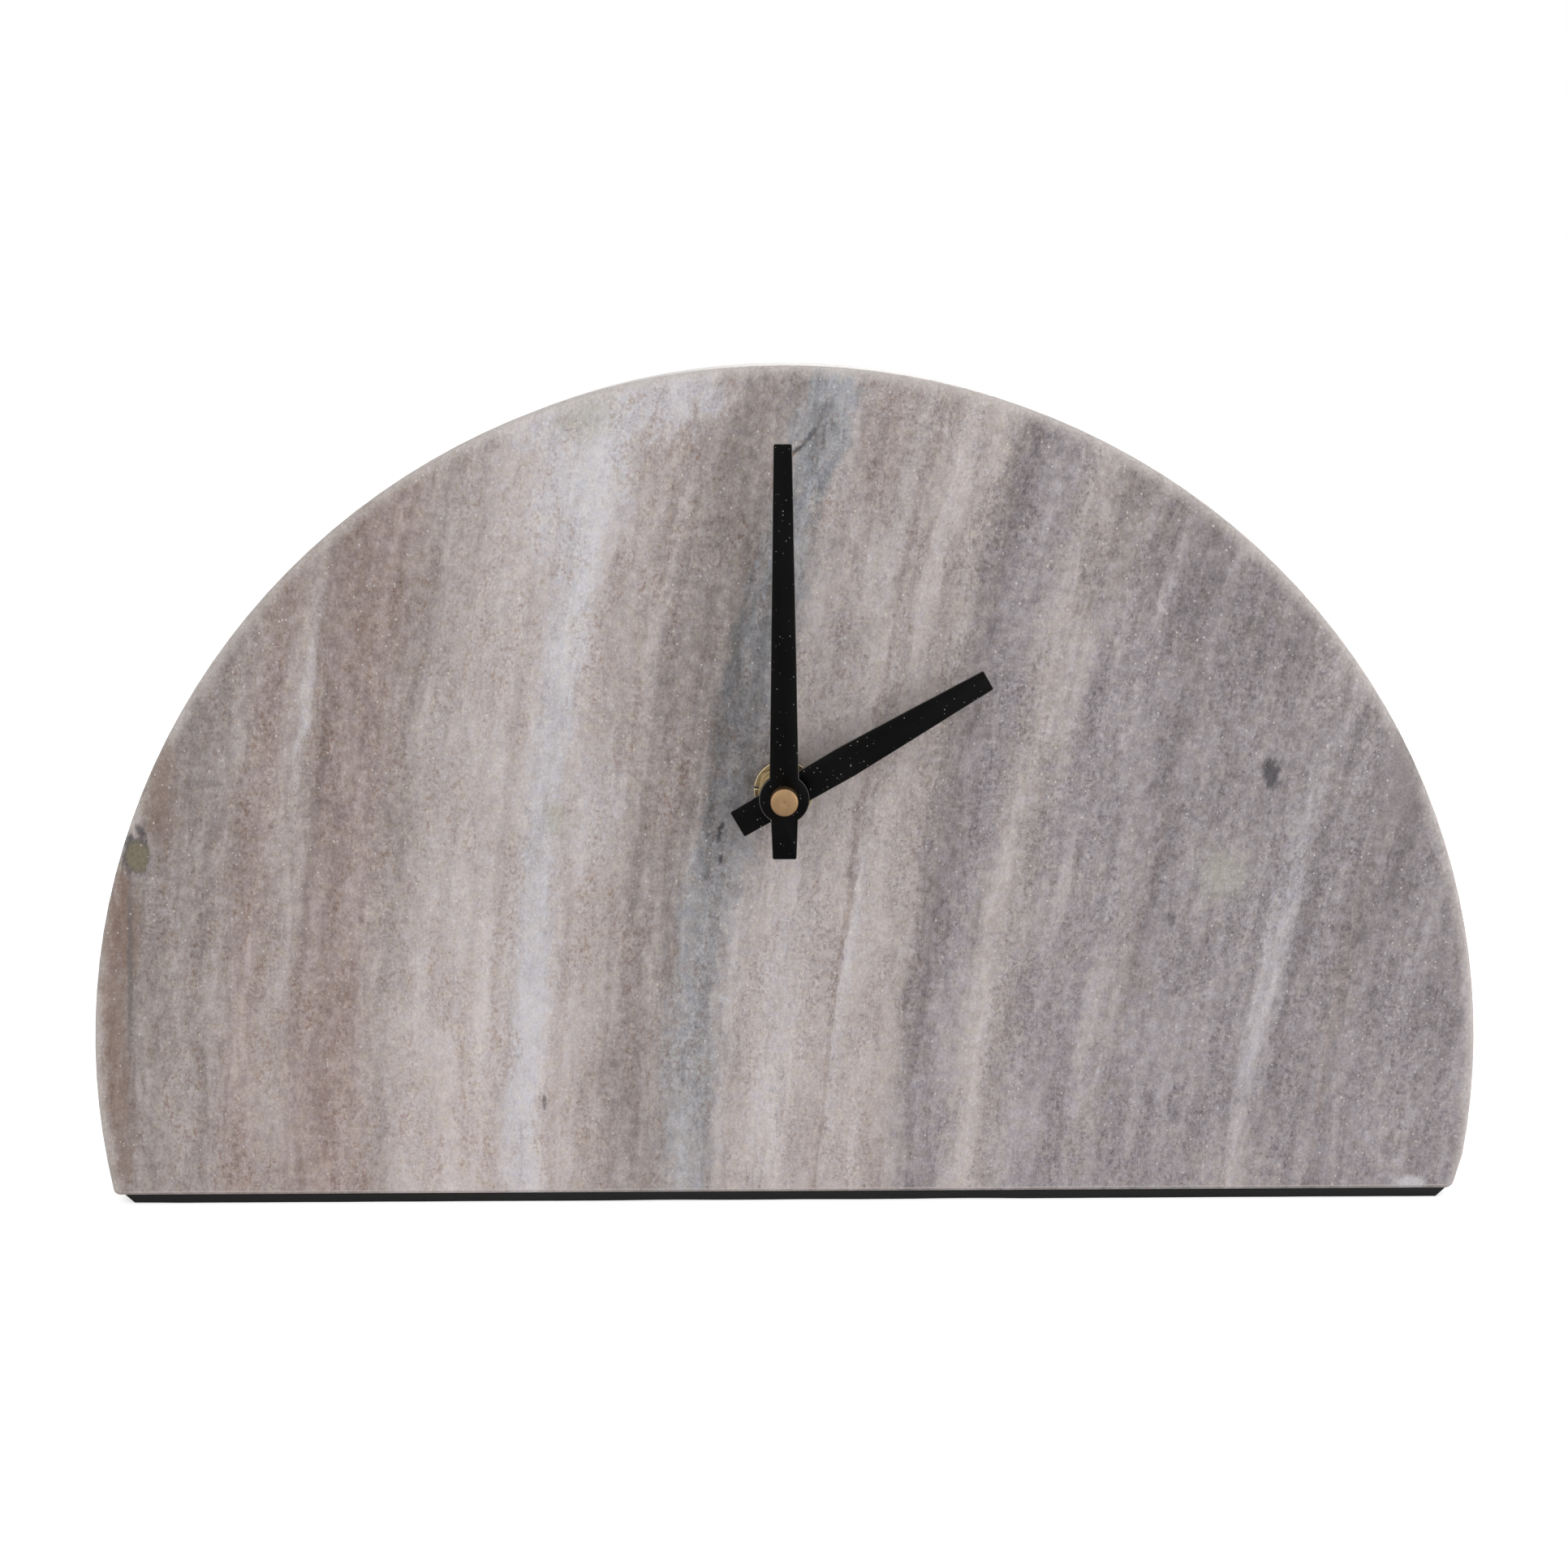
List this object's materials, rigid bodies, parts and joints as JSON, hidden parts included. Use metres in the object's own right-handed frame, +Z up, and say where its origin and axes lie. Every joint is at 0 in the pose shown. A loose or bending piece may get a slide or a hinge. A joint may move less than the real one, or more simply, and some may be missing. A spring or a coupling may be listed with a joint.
{
  "type": "mantel clock",
  "caption": "Half-round veined marble mantel clock with flat black hands, brass centre nut, thin base pad and a battery quartz movement set in a recess behind.",
  "frame": {"origin": "middle of the base pad's underside, halfway through the slab's depth", "axes": "+X to the right of the dial and along the longest extent, -Y out of the dial, +Z up"},
  "size_m": [0.3, 0.0556, 0.1815],
  "materials": {
    "marble": "veined marble, honed, fine crystal grain with a soft sheen",
    "pad_foam": "matt black closed-cell foam",
    "cushion_rubber": "matt black rubber",
    "hardware_brass": "bright turned brass, lightly tarnished",
    "cap_brass": "satin turned brass with fine rings",
    "hand_black": "satin black enamel with specks of dust",
    "case_black": "fine spark-eroded black plastic",
    "module_plastic": "off-white moulded plastic",
    "wheel_plastic": "natural acetal",
    "contact_steel": "nickel-plated spring strip",
    "cell_jacket": "plain dark shrink jacket with bare steel ends",
    "knob_plastic": "black moulded plastic, ribbed edge"
  },
  "bodies": {
    "slab_and_case": {"marble_slab": "marble", "base_pad": "pad_foam", "rubber_cushion": "cushion_rubber", "threaded_bush": "hardware_brass", "spring_washer": "hardware_brass", "hex_nut": "hardware_brass", "front_case": "case_black", "drive_module": "module_plastic", "back_cover": "case_black", "battery_cell": "cell_jacket", "positive_contact": "contact_steel", "negative_contact": "contact_steel"},
    "minute_drive": {"minute_hand": "hand_black", "minute_collet": "hardware_brass", "minute_arbor": "hardware_brass", "cap_nut": "cap_brass"},
    "hour_drive": {"hour_hand": "hand_black", "hour_collet": "hardware_brass", "hour_wheel": "wheel_plastic"},
    "motion_wheel": {"motion_wheel": "wheel_plastic"},
    "setting": {"setting_shaft": "wheel_plastic", "setting_knob": "knob_plastic"}
  },
  "joints": [
    {"name": "minute_turn", "type": "hinge", "parent": "slab_and_case", "child": "minute_drive", "pos_m": [0, -0.026, 0.09185], "axis": [0, 1, 0], "continuous": true},
    {"name": "hour_turn", "type": "hinge", "parent": "slab_and_case", "child": "hour_drive", "pos_m": [0, -0.026, 0.09185], "axis": [0, 1, 0], "continuous": true},
    {"name": "motion_wheel_turn", "type": "hinge", "parent": "slab_and_case", "child": "motion_wheel", "pos_m": [-0.00752, -0.0023, 0.08911], "axis": [0, 1, 0], "continuous": true},
    {"name": "setting_turn", "type": "hinge", "parent": "slab_and_case", "child": "setting", "pos_m": [-0.01445, -0.0023, 0.09311], "axis": [0, 1, 0], "continuous": true}
  ],
  "couplings": [
    {"joint": "hour_turn", "follows": "minute_turn", "ratio": 0.083333},
    {"joint": "motion_wheel_turn", "follows": "minute_turn", "ratio": -0.33333},
    {"joint": "setting_turn", "follows": "minute_turn", "ratio": 1}
  ]
}
